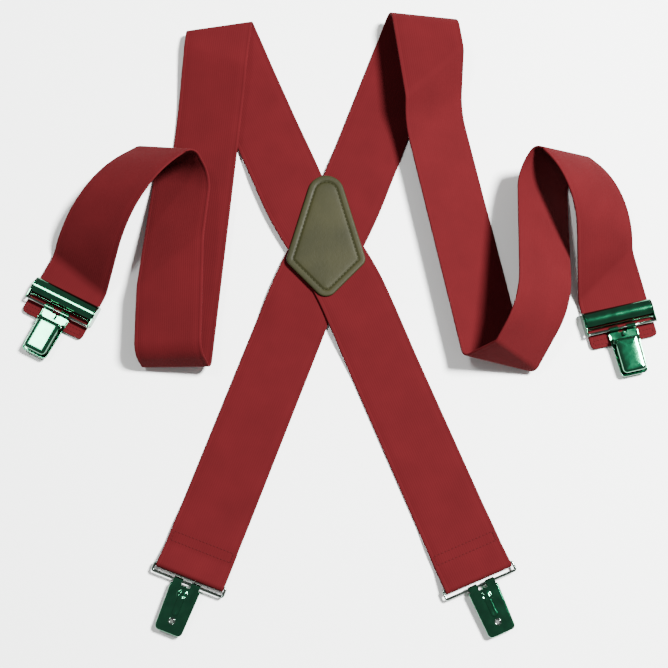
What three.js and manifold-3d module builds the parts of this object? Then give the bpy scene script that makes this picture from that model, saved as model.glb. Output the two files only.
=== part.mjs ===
// Clip-on X-back suspenders, lying on a table with both front straps folded back on themselves.
// Millimetres, +Z up. The origin is the middle of the cross patch, on the table. The back clips point to -Y,
// the shoulders to +Y. Strap "a" runs from the back left clip to the front right clip, and strap "b", which
// lies over it at the cross patch, from the back right clip to the front left clip.
import * as THREE from "three";
import { mergeVertices } from "three/addons/utils/BufferGeometryUtils.js";
import Module from "manifold-3d";

const wasm = await Module();
wasm.setup();
const DEG = Math.PI / 180;

// ---------------------------------------------------------------- driving dimensions
const WEB_WIDTH = 50;
const WEB_THICK = 1.6;
const LEATHER_THICK = 1.6;
const GAP = 0.3; // air between two layers that lie on each other
const BEND_STEP = 22; // largest turn of one facet, degrees
const PLY_PITCH = WEB_THICK + GAP;
const BITE = 0.1; // overlap of two shapes that are joined into one solid
const CUT_PAST = 1; // how far a cutting shape reaches past what it cuts

// Heights of the strap centres: on the table, on the back leather, and on the other strap.
const Z_TABLE = WEB_THICK / 2;
const Z_LOWER = LEATHER_THICK + GAP + WEB_THICK / 2;
const Z_UPPER = Z_LOWER + PLY_PITCH;
const Z_PATCH_TOP = Z_UPPER + WEB_THICK / 2 + GAP;

// Wire ring of a back clip, and the way the web loops round one of its two bars.
const WIRE_R = 1.0;
const RING_DEPTH = 6.2; // from the bar in the web loop to the bar that carries the clip
const RING_ARM_V = WEB_WIDTH / 2 + GAP + WIRE_R;
const RING_Z = 4.4;
const LOOP_R = WIRE_R + 0.35 + WEB_THICK / 2;
const LOOP_RISE = 15; // degrees, the top ply climbing to the loop
const LOOP_FALL = 7; // degrees, the return ply going down from it
const RETURN_FLAT = 12; // flat end of the return ply
const LOOP_CURVE = 12; // radius of the soft bends on both sides of the web loop
const LOOP_LEAD = 44; // from the clip bar back to where the strap starts to rise over its return ply

// Clip, shared by the four of them, in its own frame: u away from its bar, v across, h towards the lever.
const CLIP = {
  thick: 0.75,
  knuckleR: 2.0,
  boreR: 1.25,
  knuckleV: 6.5,
  knuckleWide: 6.5,
  neckEnd: 2.6,
  length: 35.5,
  rootHalf: 11,
  tipHalf: 10,
  cornerR: 3.2,
  rimHigh: 1.7,
  rimStart: 14,
  spineEnd: 6,
  spineHalf: 1,
  spineTop: 1,
  pinU: 9.5,
  pinH: 1.7,
  pinR: 0.9,
  pinHoleR: 1.0,
  pinHalf: 9.9,
  earV: 8.85,
  earTop: 3.6,
  earR: 1.9,
  earHalf: 2.6,
  leverStart: 7.9,
  leverEnd: 33.5,
  leverHalf: 8.5,
  leverCrown: 4.2,
  leverEdge: 3.2,
  leverShoulder: 1.2,
  leverSkirt: 1.5,
  leverThick: 0.8,
  lugV: 6.9,
  lugR: 1.6,
  noseStart: 10.7,
  noseEnd: 13.4,
  noseTaper: 0.5,
  toothTip: 0.35,
  padStart: 12.5,
  padEnd: 31,
  padHalf: 8,
  padHigh: 0.8,
  padLift: 0.1,
  padRibs: 8,
  padCut: 0.3,
  ribHigh: 0.45,
  ribStart: 8,
  ribEnd: 21,
  ribHead: 4.2,
  ribHalf: 2.4,
  holeU: 27,
  holeR: 1.6,
};

// Front adjuster, in the same kind of frame: its rail is at u = 0 and it reaches back over the strap.
const ADJ = {
  depth: 17,
  plateHigh: 1.0,
  plateToWeb: 0.45, // air between the plate and the web above it
  plateLip: 1.5,
  wall: 0.9,
  railR: 0.95,
  noseLead: 5, // from the rail back to the foot of the curl
  railOverWeb: 3.3,
  pinU: -7.4,
  pinOverWeb: 2.0,
  pinR: 0.85,
  pinHoleR: 0.95,
  pinHalf: WEB_WIDTH / 2 + 1.4,
  coverThick: 0.9,
  coverHalf: WEB_WIDTH / 2 - 0.1,
  curlU: -10.8,
  curlH: 0.2,
  noseStart: -9.6, // the nose stands behind the pin, so it leaves the web as the cover opens
  noseEnd: -8.6,
  noseLift: 0.5,
  noseTop: 4.4,
  lugV: 23.1,
  lugR: 1.5,
  lugLow: 3.6, // the lug runs up into the curl, in front of the pin and behind it
  lugHigh: 4.2,
};
const TAIL_PAST_RAIL = 10.5;

// Cross patch: a kite with its long point to the shoulders, stretched round four corner arcs.
const PATCH = {
  sideX: 22.6,
  sideY: -12.8,
  sideR: 6.5,
  topY: 38.9,
  topR: 13.6,
  bottomY: -32.5,
  bottomR: 9,
  grooveInset: 4.2,
  grooveWide: 1.6,
  grooveDeep: 0.6,
};

// Sewing: rows of thread that stand just proud of the web. Distances are from the bar or the rail of the clip.
const THREAD = {
  high: 0.5,
  wide: 0.8,
  lift: 0.12,
  margin: 2.2,
  loopStart: -30.8,
  loopEnd: -23.4,
  hemStart: 4.2,
  hemEnd: 8.4,
};

// ---------------------------------------------------------------- strap courses
// A strap starts at the cross patch with a heading (degrees from +X) and a sideways offset from the origin, and
// runs outwards through its bends. Each bend says how far along the middle of the strap it is centred, how far its
// crease is skewed from square to the strap, its radius, and its turn, which is positive when it curls upwards.
const bend = (along, skew, radius, turn) => ({ along, skew, radius, turn });

// Strap b, patch to front left clip. It settles on the table past the other strap and rises again to its fold.
const FRONT_LEFT = {
  heading: 113,
  offset: -6.9,
  height: Z_UPPER,
  tail: 818.5,
  settle: [{ along: 84, drop: 3.8 }, { along: 160, drop: -1.9 }],
  bends: [
    bend(195, -14, 3, 175),
    bend(222, 16, 26.5, 13.5),
    bend(261, -24.5, 193, -9),
    bend(467.5, -4, 5, -109.5),
    bend(488.5, 0, 13.5, -70),
    bend(554.5, 37, 20, -16.5),
    bend(629.5, -21.5, 19.5, 61.5),
    bend(650.5, -15, 8, 89.5),
    bend(709, -27, 63.5, 74),
    bend(776.5, 11.5, 12, -40),
  ],
};

// Strap a, patch to front right clip.
const FRONT_RIGHT = {
  heading: 69.5,
  offset: 4.2,
  height: Z_LOWER,
  tail: 832.5,
  settle: [{ along: 66, drop: 1.8 }],
  bends: [
    bend(199.5, 14, 11, 175.5),
    bend(258, -35.5, 8.5, 43),
    bend(291, -8.5, 50, -32.5),
    bend(486.5, 20, 5, -101.5),
    bend(505.5, -7.5, 5, -45.5),
    bend(548, 12.5, 54, -43),
    bend(653, 15, 31.5, 52.5),
    bend(674, 15, 6, 97.5),
    bend(717, 22.5, 53.5, 68),
    bend(781.5, -31, 10, -39.5),
  ],
};

// Straps a and b, patch to the back clips. The distance is to the bar that carries the clip.
const BACK_LEFT = { heading: -110.8, offset: 1.6, height: Z_LOWER, bar: 266, settle: 63 };
const BACK_RIGHT = { heading: -67.1, offset: -2.8, height: Z_UPPER, bar: 271.5, settle: 84 };

// ---------------------------------------------------------------- folding a flat strap
const UP = new THREE.Vector3(0, 0, 1);
const BLEND = 48; // half the length over which the two ends of a strap meet under the patch

// Two gentle bends that lower a strap by drop, or raise it where drop is negative.
function step(along, drop) {
  const radius = 60;
  const angle = 6;
  const arcs = 2 * radius * (1 - Math.cos(angle * DEG));
  const straight = (Math.abs(drop) - arcs) / Math.sin(angle * DEG);
  const half = (straight + radius * angle * DEG) / 2;
  const sign = Math.sign(drop);
  return [bend(along - half, 0, radius, -sign * angle), bend(along + half, 0, radius, sign * angle)];
}

// A course keeps, for every bend, the rigid frame before it and after it.
function courseOf(heading, offset, height, bends) {
  const foot = new THREE.Vector3(Math.sin(heading * DEG) * offset, -Math.cos(heading * DEG) * offset, height);
  const start = new THREE.Matrix4().makeRotationZ(heading * DEG).setPosition(foot);
  const steps = [];
  let frame = start;
  for (const { along, skew, radius, turn } of bends) {
    const angle = Math.abs(turn) * DEG;
    const side = Math.sign(turn);
    const length = radius * angle;
    const normal = new THREE.Vector3(Math.cos(skew * DEG), Math.sin(skew * DEG), 0);
    const begin = along * normal.x - length / 2;
    const crease = new THREE.Vector3().crossVectors(UP, normal);
    const landing = normal.clone().multiplyScalar(begin + radius * Math.sin(angle));
    landing.z = side * radius * (1 - Math.cos(angle));
    const leaving = normal.clone().multiplyScalar(-(begin + length));
    const past = new THREE.Matrix4().makeTranslation(landing);
    past.multiply(new THREE.Matrix4().makeRotationAxis(crease, -side * angle));
    past.multiply(new THREE.Matrix4().makeTranslation(leaving));
    const after = frame.clone().multiply(past);
    steps.push({ before: frame, after, normal, begin, length, radius, side, skew });
    frame = after;
  }
  return { start, steps, end: frame };
}

// Where the point (along, across) of the flat strap ends up, lifted off its middle surface.
function place(course, along, across, lift) {
  const flat = new THREE.Vector3(along, across, 0);
  const reached = course.steps.filter((s) => flat.dot(s.normal) >= s.begin);
  const last = reached.at(-1);
  if (!last) return flat.setZ(lift).applyMatrix4(course.start);
  const travelled = flat.dot(last.normal) - last.begin;
  if (travelled >= last.length) return flat.setZ(lift).applyMatrix4(last.after);
  const angle = travelled / last.radius;
  const inward = last.radius * Math.sin(angle) - travelled - lift * last.side * Math.sin(angle);
  flat.addScaledVector(last.normal, inward);
  flat.z = last.side * last.radius * (1 - Math.cos(angle)) + lift * Math.cos(angle);
  return flat.applyMatrix4(last.before);
}

// The lines across the flat strap at which it is faceted. Inside a bend they run along its crease.
function stations(course, from, to) {
  const lines = [{ along: from, slant: 0 }];
  for (const s of course.steps) {
    const facets = Math.ceil((s.length / s.radius) / (BEND_STEP * DEG));
    const slant = -Math.tan(s.skew * DEG);
    for (let i = 0; i <= facets; i += 1) {
      lines.push({ along: (s.begin + (s.length * i) / facets) / s.normal.x, slant });
    }
  }
  lines.push({ along: to, slant: 0 });
  return lines;
}

// One strap from its back end to its front tail: the two courses meet under the cross patch.
function strapGeometry(back, backEnd, front, frontEnd) {
  const corners = [];
  const section = [[1, 1], [-1, 1], [-1, -1], [1, -1]];
  const halfWidth = WEB_WIDTH / 2;
  const halfThick = WEB_THICK / 2;
  for (const line of stations(back, BLEND, backEnd).reverse()) {
    for (const [v, h] of section) {
      const along = line.along - v * halfWidth * line.slant;
      corners.push(place(back, along, -v * halfWidth, h * halfThick));
    }
  }
  const cells = 8;
  for (let i = 1; i < cells; i += 1) {
    const share = i / cells;
    const weight = share * share * (3 - 2 * share);
    const along = BLEND * (2 * share - 1);
    for (const [v, h] of section) {
      const there = place(front, along, v * halfWidth, h * halfThick);
      const here = place(back, -along, -v * halfWidth, h * halfThick);
      corners.push(here.lerp(there, weight));
    }
  }
  for (const line of stations(front, BLEND, frontEnd)) {
    for (const [v, h] of section) {
      const along = line.along + v * halfWidth * line.slant;
      corners.push(place(front, along, v * halfWidth, h * halfThick));
    }
  }
  const rows = corners.length / section.length;
  const index = [0, 2, 1, 0, 3, 2];
  for (let row = 0; row < rows - 1; row += 1) {
    for (let side = 0; side < section.length; side += 1) {
      const a = row * 4 + side;
      const b = row * 4 + ((side + 1) % 4);
      index.push(a, b, b + 4, a, b + 4, a + 4);
    }
  }
  const top = (rows - 1) * 4;
  index.push(top, top + 1, top + 2, top, top + 2, top + 3);
  const geometry = new THREE.BufferGeometry().setFromPoints(corners);
  geometry.setIndex(index);
  return geometry;
}

// ---------------------------------------------------------------- solids from three.js geometry
function toSolid(geometry) {
  const bare = new THREE.BufferGeometry();
  bare.setAttribute("position", geometry.getAttribute("position"));
  bare.setIndex(geometry.index);
  const merged = mergeVertices(bare, 1e-4);
  const mesh = new wasm.Mesh({
    numProp: 3,
    vertProperties: merged.attributes.position.array,
    triVerts: new Uint32Array(merged.index.array),
  });
  return new wasm.Manifold(mesh);
}

function toGeometry(solid) {
  const mesh = solid.getMesh();
  const geometry = new THREE.BufferGeometry();
  geometry.setAttribute("position", new THREE.BufferAttribute(mesh.vertProperties, 3));
  geometry.setIndex(new THREE.BufferAttribute(mesh.triVerts, 1));
  const faceted = geometry.toNonIndexed();
  faceted.computeVertexNormals();
  return faceted;
}

const unite = (...solids) => solids.reduce((sum, solid) => sum.add(solid));

// A block between two corners.
function block(u0, u1, v0, v1, h0, h1) {
  const box = new THREE.BoxGeometry(u1 - u0, v1 - v0, h1 - h0);
  return toSolid(box.translate((u0 + u1) / 2, (v0 + v1) / 2, (h0 + h1) / 2));
}

// A round bar across the strap.
function barAcross(radius, v0, v1, u = 0, h = 0, sides = 12) {
  const bar = new THREE.CylinderGeometry(radius, radius, v1 - v0, sides);
  return toSolid(bar.translate(u, (v0 + v1) / 2, h));
}

// An outline in the (u, v) plane raised from h0 to h1.
function raised(shape, h0, h1, curveSegments = 4) {
  const body = new THREE.ExtrudeGeometry(shape, { depth: h1 - h0, bevelEnabled: false, curveSegments });
  return toSolid(body.translate(0, 0, h0));
}

// A profile in the (u, h) plane, drawn out across the strap from v0 to v1.
function drawnAcross(shape, v0, v1, curveSegments = 4) {
  const body = new THREE.ExtrudeGeometry(shape, { depth: v1 - v0, bevelEnabled: false, curveSegments });
  return toSolid(body.rotateX(Math.PI / 2).translate(0, v1, 0));
}

// A profile in the (v, h) plane, drawn out along the strap from u0 to u1.
function drawnAlong(shape, u0, u1, curveSegments = 4) {
  const body = new THREE.ExtrudeGeometry(shape, { depth: u1 - u0, bevelEnabled: false, curveSegments });
  const turn = new THREE.Matrix4();
  turn.makeBasis(new THREE.Vector3(0, 1, 0), new THREE.Vector3(0, 0, 1), new THREE.Vector3(1, 0, 0));
  return toSolid(body.applyMatrix4(turn).translate(u0, 0, 0));
}

const polygon = (points) => new THREE.Shape(points.map(([x, y]) => new THREE.Vector2(x, y)));

// The outline stretched round circular corners, given anticlockwise as [x, y, radius] and drawn inset.
function roundedOutline(corners, inset = 0) {
  const count = corners.length;
  const facing = corners.map(([x, y, r], i) => {
    const [nextX, nextY, nextR] = corners[(i + 1) % count];
    const direction = Math.atan2(nextY - y, nextX - x);
    return direction - Math.acos((r - nextR) / Math.hypot(nextX - x, nextY - y));
  });
  const shape = new THREE.Shape();
  corners.forEach(([x, y, r], i) => {
    const from = facing[(i + count - 1) % count];
    shape.absarc(x, y, r - inset, from, facing[i], false);
  });
  return shape;
}

// ---------------------------------------------------------------- the four courses
function frontCourse({ heading, offset, height, settle, bends }) {
  const settling = settle.flatMap(({ along, drop }) => step(along, drop));
  return courseOf(heading, offset, height, [...settling, ...bends]);
}

// The web climbs to the ring, goes round its bar and comes back flat underneath.
function backCourse({ heading, offset, height, bar, settle }) {
  const rise = LOOP_RISE * DEG;
  const fall = LOOP_FALL * DEG;
  const curl = 180 + LOOP_RISE - LOOP_FALL;
  const onTop = Z_TABLE + PLY_PITCH;
  const climb = RING_Z + LOOP_R * Math.cos(rise) - LOOP_CURVE * (1 - Math.cos(rise)) - onTop;
  const descent = RING_Z - LOOP_R * Math.cos(fall) - LOOP_CURVE * (1 - Math.cos(fall)) - Z_TABLE;
  const loopStart = bar - RING_DEPTH - LOOP_R * Math.sin(rise);
  const loopLength = LOOP_R * curl * DEG;
  const slope = climb / Math.sin(rise);
  const back = descent / Math.sin(fall);
  const fallAt = loopStart + loopLength + back + (LOOP_CURVE * fall) / 2;
  const course = courseOf(heading, offset, height, [
    ...step(settle, height - Z_TABLE),
    ...step(bar - LOOP_LEAD, -PLY_PITCH),
    bend(loopStart - slope - (LOOP_CURVE * rise) / 2, 0, LOOP_CURVE, LOOP_RISE),
    bend(loopStart + loopLength / 2, 0, LOOP_R, -curl),
    bend(fallAt, 0, LOOP_CURVE, -LOOP_FALL),
  ]);
  return { ...course, endsAt: fallAt + (LOOP_CURVE * fall) / 2 + RETURN_FLAT };
}

const frontLeft = frontCourse(FRONT_LEFT);
const frontRight = frontCourse(FRONT_RIGHT);
const backLeft = backCourse(BACK_LEFT);
const backRight = backCourse(BACK_RIGHT);

// A right-handed frame: u outwards along the strap, h up or down, v across.
function frameOf(origin, outward, up) {
  const across = new THREE.Vector3().crossVectors(up, outward).normalize();
  return new THREE.Matrix4().makeBasis(outward, across, up).setPosition(origin);
}

// The clip of a back strap lies lever down, on the ring that the web loop holds.
function backFrame(course, { heading }) {
  const loop = course.steps.at(-2);
  const barCentre = loop.normal.clone().multiplyScalar(loop.begin);
  barCentre.z = loop.side * loop.radius;
  barCentre.applyMatrix4(loop.before);
  const outward = new THREE.Vector3(Math.cos(heading * DEG), Math.sin(heading * DEG), 0);
  return frameOf(barCentre.addScaledVector(outward, RING_DEPTH), outward, UP.clone().negate());
}

// The rail of an adjuster stands over the tail of its strap, whose underside faces up after three folds.
function frontFrame(course, { tail }) {
  const outward = new THREE.Vector3().setFromMatrixColumn(course.end, 0);
  const up = new THREE.Vector3().setFromMatrixColumn(course.end, 2).negate();
  const rail = new THREE.Vector3(tail - TAIL_PAST_RAIL, 0, 0).applyMatrix4(course.end);
  return frameOf(rail.addScaledVector(up, WEB_THICK / 2 + ADJ.railOverWeb), outward, up);
}

// ---------------------------------------------------------------- cross patch
const PATCH_OUTLINE = [
  [PATCH.sideX, PATCH.sideY, PATCH.sideR],
  [0, PATCH.topY, PATCH.topR],
  [-PATCH.sideX, PATCH.sideY, PATCH.sideR],
  [0, PATCH.bottomY, PATCH.bottomR],
];

// A closed band that follows the patch outline, between two insets.
function patchBand(inset, wide, h0, h1) {
  const band = roundedOutline(PATCH_OUTLINE, inset);
  band.holes.push(roundedOutline(PATCH_OUTLINE, inset + wide));
  return raised(band, h0, h1, 10);
}

function frontLeather() {
  const top = Z_PATCH_TOP + LEATHER_THICK;
  const sheet = raised(roundedOutline(PATCH_OUTLINE), Z_PATCH_TOP, top, 10);
  return sheet.subtract(patchBand(PATCH.grooveInset, PATCH.grooveWide, top - PATCH.grooveDeep, top + CUT_PAST));
}

function patchStitching() {
  const floor = Z_PATCH_TOP + LEATHER_THICK - PATCH.grooveDeep;
  const inset = PATCH.grooveInset + (PATCH.grooveWide - THREAD.wide) / 2;
  return patchBand(inset, THREAD.wide, floor + THREAD.lift, floor + THREAD.lift + THREAD.high);
}

// A box of stitches through two plies of web, from u0 to u1 and as wide as the strap less its margins.
function boxStitch(u0, u1, bottom) {
  const half = WEB_WIDTH / 2 - THREAD.margin;
  const outer = block(u0, u1, -half, half, bottom, bottom + THREAD.high);
  const inner = block(
    u0 + THREAD.wide,
    u1 - THREAD.wide,
    THREAD.wide - half,
    half - THREAD.wide,
    bottom - CUT_PAST,
    bottom + THREAD.high + CUT_PAST,
  );
  return outer.subtract(inner);
}

// The loop stitching lies on the strap, just inboard of the climb to the ring, in the clip's flipped frame.
function loopStitching() {
  const top = Z_TABLE + PLY_PITCH + WEB_THICK / 2 + THREAD.lift;
  return boxStitch(THREAD.loopStart, THREAD.loopEnd, RING_Z - top - THREAD.high);
}

function hemStitching() {
  const top = THREAD.lift - ADJ.railOverWeb;
  return boxStitch(THREAD.hemStart, THREAD.hemEnd, top);
}

// ---------------------------------------------------------------- ring of a back clip
function wireRing() {
  const bars = [0, -RING_DEPTH].map((u) => barAcross(WIRE_R, -RING_ARM_V, RING_ARM_V, u));
  const arms = [-1, 1].map((side) => {
    const arm = new THREE.CylinderGeometry(WIRE_R, WIRE_R, RING_DEPTH, 12).rotateZ(Math.PI / 2);
    return toSolid(arm.translate(-RING_DEPTH / 2, side * RING_ARM_V, 0));
  });
  const corners = [-1, 1].flatMap((side) => [0, -RING_DEPTH].map((u) => {
    const corner = new THREE.SphereGeometry(WIRE_R, 12, 6).rotateX(Math.PI / 2);
    return toSolid(corner.translate(u, side * RING_ARM_V, 0));
  }));
  return unite(...bars, ...arms, ...corners);
}

// ---------------------------------------------------------------- clip
function clipOutline(inset, start) {
  const end = CLIP.length - inset;
  const tip = CLIP.tipHalf - inset;
  const root = CLIP.rootHalf - inset;
  const r = CLIP.cornerR - inset;
  const shape = new THREE.Shape();
  shape.moveTo(start, -root);
  shape.lineTo(end - r, -tip);
  shape.absarc(end - r, r - tip, r, -Math.PI / 2, 0, false);
  shape.absarc(end - r, tip - r, r, 0, Math.PI / 2, false);
  shape.lineTo(start, root);
  return shape;
}

function clipBody() {
  const floor = -CLIP.knuckleR;
  const top = floor + CLIP.thick;
  const plate = raised(clipOutline(0, CLIP.neckEnd), floor, top);
  const rim = raised(clipOutline(0, CLIP.rimStart), floor, floor + CLIP.rimHigh);
  const well = raised(clipOutline(CLIP.thick, CLIP.rimStart - CUT_PAST), top, floor + CLIP.rimHigh + CUT_PAST);
  const half = CLIP.knuckleWide / 2;
  const knuckles = [-CLIP.knuckleV, CLIP.knuckleV].map((v) => unite(
    barAcross(CLIP.knuckleR, v - half, v + half, 0, 0, 16),
    block(0, CLIP.neckEnd + BITE, v - half, v + half, floor, top),
  ));
  const ears = [-1, 1].map((side) => {
    const ear = new THREE.Shape();
    ear.moveTo(CLIP.pinU - CLIP.earHalf, floor + BITE);
    ear.lineTo(CLIP.pinU + CLIP.earHalf, floor + BITE);
    ear.absarc(CLIP.pinU, CLIP.earTop - CLIP.earR, CLIP.earR, 0, Math.PI, false);
    const inner = side * CLIP.earV;
    const outer = side * (CLIP.earV + CLIP.thick);
    return drawnAcross(ear, Math.min(inner, outer), Math.max(inner, outer));
  });
  const stiffener = block(CLIP.neckEnd, CLIP.spineEnd, -CLIP.spineHalf, CLIP.spineHalf, floor, CLIP.spineTop);
  const head = new THREE.Shape().absarc(CLIP.ribStart, 0, CLIP.ribHead, 0, Math.PI * 2, false);
  const slot = new THREE.Shape();
  slot.moveTo(CLIP.ribStart, -CLIP.ribHalf);
  slot.absarc(CLIP.ribEnd, 0, CLIP.ribHalf, -Math.PI / 2, Math.PI / 2, false);
  slot.lineTo(CLIP.ribStart, CLIP.ribHalf);
  const eyelet = new THREE.Shape().absarc(CLIP.holeU, 0, CLIP.holeR + CLIP.thick, 0, Math.PI * 2, false);
  const embossing = [head, slot, eyelet].map((shape) => raised(shape, floor - CLIP.ribHigh, floor + BITE));
  const hole = new THREE.Shape().absarc(CLIP.holeU, 0, CLIP.holeR, 0, Math.PI * 2, false);
  const solid = unite(plate, rim.subtract(well), ...knuckles, ...ears, stiffener, ...embossing);
  const bores = unite(
    barAcross(CLIP.boreR, -CLIP.rootHalf, CLIP.rootHalf, 0, 0, 16),
    barAcross(CLIP.pinHoleR, -CLIP.rootHalf, CLIP.rootHalf, CLIP.pinU, CLIP.pinH),
    raised(hole, floor - CUT_PAST, top + CUT_PAST),
  );
  return solid.subtract(bores);
}

// The cross section of the lever: skirts, shoulders and a low crown, drawn inset by the sheet's thickness.
function leverSection(inset) {
  const half = CLIP.leverHalf - inset;
  const shoulder = CLIP.leverShoulder - inset;
  const springing = CLIP.leverEdge - CLIP.leverShoulder;
  const edge = CLIP.leverEdge - inset;
  const crown = CLIP.leverCrown - inset;
  const bottom = inset ? -CLIP.leverCrown : CLIP.leverSkirt;
  const shape = new THREE.Shape();
  shape.moveTo(-half, bottom);
  shape.lineTo(half, bottom);
  shape.lineTo(half, springing);
  shape.absarc(half - shoulder, springing, shoulder, 0, Math.PI / 2, false);
  shape.quadraticCurveTo(0, 2 * crown - edge, shoulder - half, edge);
  shape.absarc(shoulder - half, springing, shoulder, Math.PI / 2, Math.PI, false);
  return shape;
}

function clipLever() {
  const cap = drawnAlong(leverSection(0), CLIP.leverStart, CLIP.leverEnd);
  const hollow = drawnAlong(leverSection(CLIP.leverThick), CLIP.leverStart - CUT_PAST, CLIP.leverEnd - CLIP.leverThick);
  const lugs = [-1, 1].map((side) => {
    const lug = new THREE.Shape();
    lug.moveTo(CLIP.pinU - CLIP.lugR, CLIP.pinH);
    lug.absarc(CLIP.pinU, CLIP.pinH, CLIP.lugR, Math.PI, Math.PI * 2, false);
    lug.lineTo(CLIP.pinU + CLIP.lugR, CLIP.leverEdge - BITE);
    lug.lineTo(CLIP.pinU - CLIP.lugR, CLIP.leverEdge - BITE);
    const inner = side * CLIP.lugV;
    const outer = side * (CLIP.leverHalf - BITE);
    return drawnAcross(lug, Math.min(inner, outer), Math.max(inner, outer));
  });
  const nose = polygon([
    [CLIP.noseStart, CLIP.leverEdge],
    [CLIP.noseStart, CLIP.pinH],
    [CLIP.noseStart + CLIP.noseTaper, CLIP.toothTip],
    [CLIP.noseEnd - CLIP.noseTaper, CLIP.toothTip],
    [CLIP.noseEnd, CLIP.pinH],
    [CLIP.noseEnd, CLIP.leverEdge],
  ]);
  const teeth = drawnAcross(nose, -CLIP.lugV, CLIP.lugV);
  const bore = barAcross(CLIP.pinHoleR, -CLIP.earV, CLIP.earV, CLIP.pinU, CLIP.pinH);
  return unite(cap.subtract(hollow), ...lugs, teeth).subtract(bore);
}

const clipPin = () => barAcross(CLIP.pinR, -CLIP.pinHalf, CLIP.pinHalf, CLIP.pinU, CLIP.pinH);

// The jaw pad is one ribbed strip: the ribs run across the clip.
function jawPad() {
  const bottom = CLIP.thick - CLIP.knuckleR + CLIP.padLift;
  const top = bottom + CLIP.padHigh;
  const pitch = (CLIP.padEnd - CLIP.padStart) / CLIP.padRibs;
  const points = [[CLIP.padStart, bottom], [CLIP.padEnd, bottom]];
  for (let i = CLIP.padRibs; i > 0; i -= 1) {
    const u = CLIP.padStart + i * pitch;
    points.push([u, top], [u - pitch / 2, top], [u - pitch / 2, top - CLIP.padCut], [u - pitch, top - CLIP.padCut]);
  }
  return drawnAcross(polygon(points), -CLIP.padHalf, CLIP.padHalf);
}

// ---------------------------------------------------------------- adjuster
const WEB_TOP = -ADJ.railOverWeb; // in the frame of the rail
const COVER_RIDGE = [[-17, 0.7], [-16.2, 3], [-13.8, 4.6], [-10.5, 5.1], [-7.3, 4.6], [-5.4, 3.2]];

function adjusterFrame() {
  const plateTop = WEB_TOP - WEB_THICK - ADJ.plateToWeb;
  const plateBottom = plateTop - ADJ.plateHigh;
  const wallV = WEB_WIDTH / 2 + GAP;
  const outerV = wallV + ADJ.wall;
  const plate = block(-ADJ.depth, -ADJ.plateLip, -outerV, outerV, plateBottom, plateTop);
  const side = polygon([
    [-ADJ.depth, plateBottom],
    [-ADJ.plateLip, plateBottom],
    [-ADJ.plateLip, WEB_TOP],
    [0, -ADJ.railR],
    [0, ADJ.railR],
    [-ADJ.noseLead, ADJ.railR],
    ...COVER_RIDGE.slice(1, -1).reverse().map(([u, h]) => [u, h + WEB_TOP - GAP]),
    [-ADJ.depth, WEB_TOP],
  ]);
  const walls = [-outerV, wallV].map((v) => drawnAcross(side, v, v + ADJ.wall));
  const rail = barAcross(ADJ.railR, -outerV, outerV);
  const pinH = WEB_TOP + ADJ.pinOverWeb;
  const pinHole = barAcross(ADJ.pinHoleR, -outerV - CUT_PAST, outerV + CUT_PAST, ADJ.pinU, pinH);
  return unite(plate, ...walls, rail).subtract(pinHole);
}

// The cover is a rolled sheet that ends in a toothed nose, which grips the web.
function adjusterCover() {
  const ridge = COVER_RIDGE.map(([u, h]) => new THREE.Vector2(u, h + WEB_TOP));
  const middle = new THREE.Vector2(ADJ.curlU, WEB_TOP + ADJ.curlH);
  const inside = ridge.map((p) => p.clone().add(middle.clone().sub(p).setLength(ADJ.coverThick)));
  const shell = drawnAcross(new THREE.Shape([...ridge, ...inside.reverse()]), -ADJ.coverHalf, ADJ.coverHalf);
  const nose = block(
    ADJ.noseStart,
    ADJ.noseEnd,
    -ADJ.coverHalf,
    ADJ.coverHalf,
    WEB_TOP + ADJ.noseLift,
    WEB_TOP + ADJ.noseTop,
  );
  const pinH = WEB_TOP + ADJ.pinOverWeb;
  const lugs = [-1, 1].map((side) => {
    const lug = new THREE.Shape();
    lug.moveTo(ADJ.pinU - ADJ.lugR, pinH);
    lug.absarc(ADJ.pinU, pinH, ADJ.lugR, Math.PI, Math.PI * 2, false);
    lug.lineTo(ADJ.pinU + ADJ.lugR, WEB_TOP + ADJ.lugLow);
    lug.lineTo(ADJ.pinU - ADJ.lugR, WEB_TOP + ADJ.lugHigh);
    const inner = side * ADJ.lugV;
    const outer = side * ADJ.coverHalf;
    return drawnAcross(lug, Math.min(inner, outer), Math.max(inner, outer));
  });
  const bore = barAcross(ADJ.pinHoleR, -ADJ.pinHalf, ADJ.pinHalf, ADJ.pinU, pinH);
  return unite(shell, nose, ...lugs).subtract(bore);
}

const adjusterPin = () => barAcross(ADJ.pinR, -ADJ.pinHalf, ADJ.pinHalf, ADJ.pinU, WEB_TOP + ADJ.pinOverWeb);

// ---------------------------------------------------------------- materials
const webbing = new THREE.MeshStandardMaterial({ color: "#8e2b2e", roughness: 0.85, metalness: 0 });
const leather = new THREE.MeshStandardMaterial({ color: "#605d45", roughness: 0.6, metalness: 0 });
const leatherThread = new THREE.MeshStandardMaterial({ color: "#6f6a4a", roughness: 0.8, metalness: 0 });
const webThread = new THREE.MeshStandardMaterial({ color: "#7c2427", roughness: 0.8, metalness: 0 });
const nickel = new THREE.MeshStandardMaterial({ color: "#2f6b45", roughness: 0.2, metalness: 1 });
const steel = new THREE.MeshStandardMaterial({ color: "#8a9a90", roughness: 0.3, metalness: 1 });
const plastic = new THREE.MeshStandardMaterial({ color: "#20241f", roughness: 0.5, metalness: 0 });

// ---------------------------------------------------------------- the object
const suspenders = new THREE.Group();

function add(parent, name, solid, material) {
  const geometry = solid instanceof THREE.BufferGeometry ? solid : toGeometry(solid);
  const mesh = new THREE.Mesh(geometry, material);
  mesh.name = name;
  parent.add(mesh);
}

function addClip(parent, name) {
  add(parent, `${name}_clip_body`, clipBody(), nickel);
  add(parent, `${name}_clip_lever`, clipLever(), nickel);
  add(parent, `${name}_clip_pin`, clipPin(), steel);
  add(parent, `${name}_jaw_pad`, jawPad(), plastic);
}

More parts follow.
